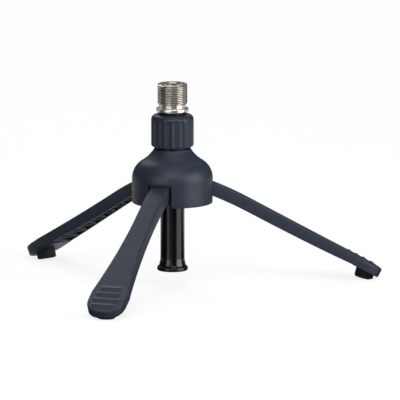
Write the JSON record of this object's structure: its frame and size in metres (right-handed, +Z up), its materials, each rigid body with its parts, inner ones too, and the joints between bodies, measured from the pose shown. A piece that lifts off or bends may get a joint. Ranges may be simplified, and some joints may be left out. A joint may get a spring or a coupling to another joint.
{
  "type": "tabletop microphone tripod",
  "caption": "Folding desk tripod for a microphone: bell hub, ribbed fold-down legs with rubber feet, sliding centre rod, fluted clamp knob and thread adapter.",
  "frame": {"origin": "on the floor, straight under the centre rod", "axes": "+Z up along the centre rod, towards the thread; +X along leg 1"},
  "size_m": [0.175, 0.1996, 0.1079],
  "materials": {
    "hub_plastic": "moulded, fine satin texture",
    "leg_plastic": "moulded, fine satin texture",
    "knob_plastic": "moulded, fluted, satin",
    "inner_plastic": "moulded, unpolished",
    "bush_nylon": "natural acetal",
    "gloss_black": "gloss black plating on steel tube",
    "cap_plastic": "gloss black",
    "black_steel": "black oxide",
    "steel": "turned",
    "ring_brass": "turned",
    "nickel": "bright nickel plate on turned brass",
    "rubber": "matt black rubber"
  },
  "bodies": {
    "hub": {"hub_shell": "hub_plastic", "hub_plate": "inner_plastic", "plate_screws": "black_steel", "collet_sleeve": "black_steel", "leg_pin_1": "steel", "leg_pin_2": "steel", "leg_pin_3": "steel", "leg_washers_1": "inner_plastic", "leg_washers_2": "inner_plastic", "leg_washers_3": "inner_plastic"},
    "leg_1_body": {"leg_1": "leg_plastic", "foot_1": "rubber"},
    "leg_2_body": {"leg_2": "leg_plastic", "foot_2": "rubber"},
    "leg_3_body": {"leg_3": "leg_plastic", "foot_3": "rubber"},
    "clamp_ring_body": {"clamp_ring": "ring_brass"},
    "knob": {"clamp_knob": "knob_plastic"},
    "bush": {"guide_bush": "bush_nylon"},
    "rod": {"centre_tube": "gloss_black", "end_cap": "cap_plastic", "stud_plug": "black_steel", "buffer_washer": "rubber"},
    "adapter": {"thread_adapter": "nickel"}
  },
  "joints": [
    {"name": "leg_1_fold", "type": "hinge", "parent": "hub", "child": "leg_1_body", "pos_m": [0.0148, 0, 0.05405], "axis": [0, 1, 0], "range_deg": [0, 60.5]},
    {"name": "leg_2_fold", "type": "hinge", "parent": "hub", "child": "leg_2_body", "pos_m": [-0.0074, 0.01282, 0.05405], "axis": [-0.866, -0.5, 0], "range_deg": [0, 60.5]},
    {"name": "leg_3_fold", "type": "hinge", "parent": "hub", "child": "leg_3_body", "pos_m": [-0.0074, -0.01282, 0.05405], "axis": [0.866, -0.5, 0], "range_deg": [0, 60.5]},
    {"name": "clamp_lift", "type": "slide", "parent": "hub", "child": "clamp_ring_body", "axis": [0, 0, 1], "range_m": [0, 0.00051]},
    {"name": "knob_turn", "type": "hinge", "parent": "clamp_ring_body", "child": "knob", "pos_m": [0, 0, 0.083], "axis": [0, 0, 1], "range_deg": [0, 180]},
    {"name": "rod_turn", "type": "hinge", "parent": "hub", "child": "bush", "pos_m": [0, 0, 0.054], "axis": [0, 0, 1], "continuous": true},
    {"name": "rod_slide", "type": "slide", "parent": "bush", "child": "rod", "axis": [0, 0, 1], "range_m": [0, 0.03]},
    {"name": "adapter_lift", "type": "slide", "parent": "rod", "child": "adapter", "axis": [0, 0, 1], "range_m": [0, 0.02]}
  ],
  "couplings": [
    {"joint": "clamp_lift", "follows": "knob_turn", "m_per_rad": 0.00015915}
  ]
}
